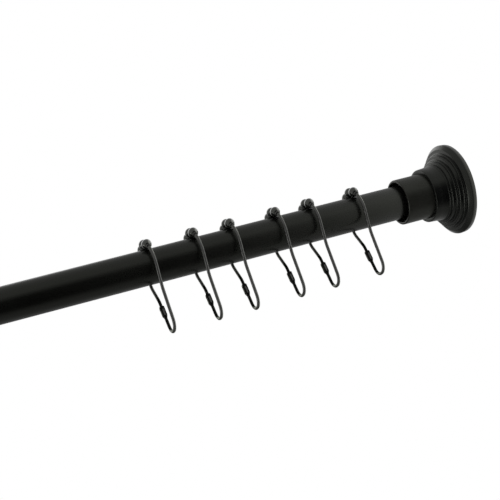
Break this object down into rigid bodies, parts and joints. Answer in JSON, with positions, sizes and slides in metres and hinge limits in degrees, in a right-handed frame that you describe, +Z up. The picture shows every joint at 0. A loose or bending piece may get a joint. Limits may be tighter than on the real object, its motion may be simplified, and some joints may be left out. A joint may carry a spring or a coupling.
{
  "type": "extendable shower curtain rod",
  "caption": "Black extendable shower curtain rod: telescoping tubes with a twist lock, stepped wall flanges and wire roller hooks that slide along the rod.",
  "frame": {"origin": "centre of the fixed end's wall face, on the rod's axis", "axes": "+X out of the fixed end into its wall, -X along the rod to the sliding end, +Z up; the hooks hang towards -Z"},
  "size_m": [0.8, 0.0694, 0.0856],
  "materials": {
    "powder_coat": "satin",
    "socket_plastic": "satin",
    "cover_plastic": "satin",
    "bush_plastic": "matte",
    "pad_rubber": "matte",
    "hook_wire": "satin",
    "roller_ball": "gloss",
    "nylon": "matte",
    "zinc_steel": "satin",
    "spring_steel": "satin"
  },
  "bodies": {
    "outer_rod": {"outer_tube": "powder_coat", "guide_bush": "bush_plastic", "fixed_end_socket": "socket_plastic", "fixed_wall_pad": "pad_rubber"},
    "lock_carriage": {"expander_sleeve": "nylon", "expander_cone": "nylon", "tension_screw": "zinc_steel", "screw_stop_nut": "zinc_steel", "tension_spring": "spring_steel"},
    "thrust_washer": {"thrust_washer": "zinc_steel"},
    "inner_rod": {"inner_tube": "powder_coat", "nut_plug": "nylon", "sliding_end_socket": "socket_plastic", "sliding_wall_pad": "pad_rubber"},
    "fixed_cover": {"fixed_flange_cover": "cover_plastic"},
    "sliding_cover": {"sliding_flange_cover": "cover_plastic"},
    "hook_1": {"hook_1_wire": "hook_wire"},
    "hook_1_ball_1": {"hook_1_ball_1": "roller_ball"},
    "hook_1_ball_2": {"hook_1_ball_2": "roller_ball"},
    "hook_1_ball_3": {"hook_1_ball_3": "roller_ball"},
    "hook_2": {"hook_2_wire": "hook_wire"},
    "hook_2_ball_1": {"hook_2_ball_1": "roller_ball"},
    "hook_2_ball_2": {"hook_2_ball_2": "roller_ball"},
    "hook_2_ball_3": {"hook_2_ball_3": "roller_ball"},
    "hook_3": {"hook_3_wire": "hook_wire"},
    "hook_3_ball_1": {"hook_3_ball_1": "roller_ball"},
    "hook_3_ball_2": {"hook_3_ball_2": "roller_ball"},
    "hook_3_ball_3": {"hook_3_ball_3": "roller_ball"},
    "hook_4": {"hook_4_wire": "hook_wire"},
    "hook_4_ball_1": {"hook_4_ball_1": "roller_ball"},
    "hook_4_ball_2": {"hook_4_ball_2": "roller_ball"},
    "hook_4_ball_3": {"hook_4_ball_3": "roller_ball"},
    "hook_5": {"hook_5_wire": "hook_wire"},
    "hook_5_ball_1": {"hook_5_ball_1": "roller_ball"},
    "hook_5_ball_2": {"hook_5_ball_2": "roller_ball"},
    "hook_5_ball_3": {"hook_5_ball_3": "roller_ball"},
    "hook_6": {"hook_6_wire": "hook_wire"},
    "hook_6_ball_1": {"hook_6_ball_1": "roller_ball"},
    "hook_6_ball_2": {"hook_6_ball_2": "roller_ball"},
    "hook_6_ball_3": {"hook_6_ball_3": "roller_ball"}
  },
  "joints": [
    {"name": "telescope_slide", "type": "slide", "parent": "outer_rod", "child": "lock_carriage", "axis": [-1, 0, 0], "range_m": [-0.1, 0.35]},
    {"name": "tension_advance", "type": "slide", "parent": "lock_carriage", "child": "thrust_washer", "axis": [-1, 0, 0], "range_m": [0, 0.0152], "deforming": ["tension_spring"]},
    {"name": "tension_twist", "type": "hinge", "parent": "thrust_washer", "child": "inner_rod", "pos_m": [-0.18, 0, 0], "axis": [-1, 0, 0], "range_deg": [0, 4320]},
    {"name": "fixed_cover_slide", "type": "slide", "parent": "outer_rod", "child": "fixed_cover", "axis": [1, 0, 0], "range_m": [-0.048, 0]},
    {"name": "sliding_cover_slide", "type": "slide", "parent": "inner_rod", "child": "sliding_cover", "axis": [1, 0, 0], "range_m": [0, 0.1]},
    {"name": "hook_1_slide", "type": "slide", "parent": "outer_rod", "child": "hook_1", "axis": [1, 0, 0], "range_m": [-0.36, 0.0272]},
    {"name": "hook_1_ball_1_roll", "type": "hinge", "parent": "hook_1", "child": "hook_1_ball_1", "pos_m": [-0.2486, -0.00832, 0.01425], "axis": [0, 0.8636, 0.5041], "range_deg": [-5575.72, 422.2]},
    {"name": "hook_1_ball_2_roll", "type": "hinge", "parent": "hook_1", "child": "hook_1_ball_2", "pos_m": [-0.2486, -0.00115, 0.01646], "axis": [0, 0.9976, 0.0698], "range_deg": [-5575.72, 422.2]},
    {"name": "hook_1_ball_3_roll", "type": "hinge", "parent": "hook_1", "child": "hook_1_ball_3", "pos_m": [-0.2486, 0.00625, 0.01527], "axis": [0, 0.9254, -0.379], "range_deg": [-5575.72, 422.2]},
    {"name": "hook_2_slide", "type": "slide", "parent": "outer_rod", "child": "hook_2", "axis": [1, 0, 0], "range_m": [-0.0272, 0.0203]},
    {"name": "hook_2_ball_1_roll", "type": "hinge", "parent": "hook_2", "child": "hook_2_ball_1", "pos_m": [-0.2134, -0.00832, 0.01425], "axis": [0, 0.8636, 0.5041], "range_deg": [-422.2, 315.35]},
    {"name": "hook_2_ball_2_roll", "type": "hinge", "parent": "hook_2", "child": "hook_2_ball_2", "pos_m": [-0.2134, -0.00115, 0.01646], "axis": [0, 0.9976, 0.0698], "range_deg": [-422.2, 315.35]},
    {"name": "hook_2_ball_3_roll", "type": "hinge", "parent": "hook_2", "child": "hook_2_ball_3", "pos_m": [-0.2134, 0.00625, 0.01527], "axis": [0, 0.9254, -0.379], "range_deg": [-422.2, 315.35]},
    {"name": "hook_3_slide", "type": "slide", "parent": "outer_rod", "child": "hook_3", "axis": [1, 0, 0], "range_m": [-0.0203, 0.0281]},
    {"name": "hook_3_ball_1_roll", "type": "hinge", "parent": "hook_3", "child": "hook_3_ball_1", "pos_m": [-0.1851, -0.00832, 0.01425], "axis": [0, 0.8636, 0.5041], "range_deg": [-315.35, 436.14]},
    {"name": "hook_3_ball_2_roll", "type": "hinge", "parent": "hook_3", "child": "hook_3_ball_2", "pos_m": [-0.1851, -0.00115, 0.01646], "axis": [0, 0.9976, 0.0698], "range_deg": [-315.35, 436.14]},
    {"name": "hook_3_ball_3_roll", "type": "hinge", "parent": "hook_3", "child": "hook_3_ball_3", "pos_m": [-0.1851, 0.00625, 0.01527], "axis": [0, 0.9254, -0.379], "range_deg": [-315.35, 436.14]},
    {"name": "hook_4_slide", "type": "slide", "parent": "outer_rod", "child": "hook_4", "axis": [1, 0, 0], "range_m": [-0.0281, 0.0197]},
    {"name": "hook_4_ball_1_roll", "type": "hinge", "parent": "hook_4", "child": "hook_4_ball_1", "pos_m": [-0.149, -0.00832, 0.01425], "axis": [0, 0.8636, 0.5041], "range_deg": [-436.14, 306.06]},
    {"name": "hook_4_ball_2_roll", "type": "hinge", "parent": "hook_4", "child": "hook_4_ball_2", "pos_m": [-0.149, -0.00115, 0.01646], "axis": [0, 0.9976, 0.0698], "range_deg": [-436.14, 306.06]},
    {"name": "hook_4_ball_3_roll", "type": "hinge", "parent": "hook_4", "child": "hook_4_ball_3", "pos_m": [-0.149, 0.00625, 0.01527], "axis": [0, 0.9254, -0.379], "range_deg": [-436.14, 306.06]},
    {"name": "hook_5_slide", "type": "slide", "parent": "outer_rod", "child": "hook_5", "axis": [1, 0, 0], "range_m": [-0.0197, 0.0289]},
    {"name": "hook_5_ball_1_roll", "type": "hinge", "parent": "hook_5", "child": "hook_5_ball_1", "pos_m": [-0.1213, -0.00832, 0.01425], "axis": [0, 0.8636, 0.5041], "range_deg": [-306.06, 448.53]},
    {"name": "hook_5_ball_2_roll", "type": "hinge", "parent": "hook_5", "child": "hook_5_ball_2", "pos_m": [-0.1213, -0.00115, 0.01646], "axis": [0, 0.9976, 0.0698], "range_deg": [-306.06, 448.53]},
    {"name": "hook_5_ball_3_roll", "type": "hinge", "parent": "hook_5", "child": "hook_5_ball_3", "pos_m": [-0.1213, 0.00625, 0.01527], "axis": [0, 0.9254, -0.379], "range_deg": [-306.06, 448.53]},
    {"name": "hook_6_slide", "type": "slide", "parent": "outer_rod", "child": "hook_6", "axis": [1, 0, 0], "range_m": [-0.0289, 0.031]},
    {"name": "hook_6_ball_1_roll", "type": "hinge", "parent": "hook_6", "child": "hook_6_ball_1", "pos_m": [-0.0844, -0.00832, 0.01425], "axis": [0, 0.8636, 0.5041], "range_deg": [-448.53, 481.05]},
    {"name": "hook_6_ball_2_roll", "type": "hinge", "parent": "hook_6", "child": "hook_6_ball_2", "pos_m": [-0.0844, -0.00115, 0.01646], "axis": [0, 0.9976, 0.0698], "range_deg": [-448.53, 481.05]},
    {"name": "hook_6_ball_3_roll", "type": "hinge", "parent": "hook_6", "child": "hook_6_ball_3", "pos_m": [-0.0844, 0.00625, 0.01527], "axis": [0, 0.9254, -0.379], "range_deg": [-448.53, 481.05]}
  ],
  "couplings": [
    {"joint": "tension_advance", "follows": "tension_twist", "m_per_rad": 0.00019894},
    {"joint": "hook_1_ball_1_roll", "follows": "hook_1_slide", "rad_per_m": 270.27},
    {"joint": "hook_1_ball_2_roll", "follows": "hook_1_slide", "rad_per_m": 270.27},
    {"joint": "hook_1_ball_3_roll", "follows": "hook_1_slide", "rad_per_m": 270.27},
    {"joint": "hook_2_ball_1_roll", "follows": "hook_2_slide", "rad_per_m": 270.27},
    {"joint": "hook_2_ball_2_roll", "follows": "hook_2_slide", "rad_per_m": 270.27},
    {"joint": "hook_2_ball_3_roll", "follows": "hook_2_slide", "rad_per_m": 270.27},
    {"joint": "hook_3_ball_1_roll", "follows": "hook_3_slide", "rad_per_m": 270.27},
    {"joint": "hook_3_ball_2_roll", "follows": "hook_3_slide", "rad_per_m": 270.27},
    {"joint": "hook_3_ball_3_roll", "follows": "hook_3_slide", "rad_per_m": 270.27},
    {"joint": "hook_4_ball_1_roll", "follows": "hook_4_slide", "rad_per_m": 270.27},
    {"joint": "hook_4_ball_2_roll", "follows": "hook_4_slide", "rad_per_m": 270.27},
    {"joint": "hook_4_ball_3_roll", "follows": "hook_4_slide", "rad_per_m": 270.27},
    {"joint": "hook_5_ball_1_roll", "follows": "hook_5_slide", "rad_per_m": 270.27},
    {"joint": "hook_5_ball_2_roll", "follows": "hook_5_slide", "rad_per_m": 270.27},
    {"joint": "hook_5_ball_3_roll", "follows": "hook_5_slide", "rad_per_m": 270.27},
    {"joint": "hook_6_ball_1_roll", "follows": "hook_6_slide", "rad_per_m": 270.27},
    {"joint": "hook_6_ball_2_roll", "follows": "hook_6_slide", "rad_per_m": 270.27},
    {"joint": "hook_6_ball_3_roll", "follows": "hook_6_slide", "rad_per_m": 270.27}
  ]
}
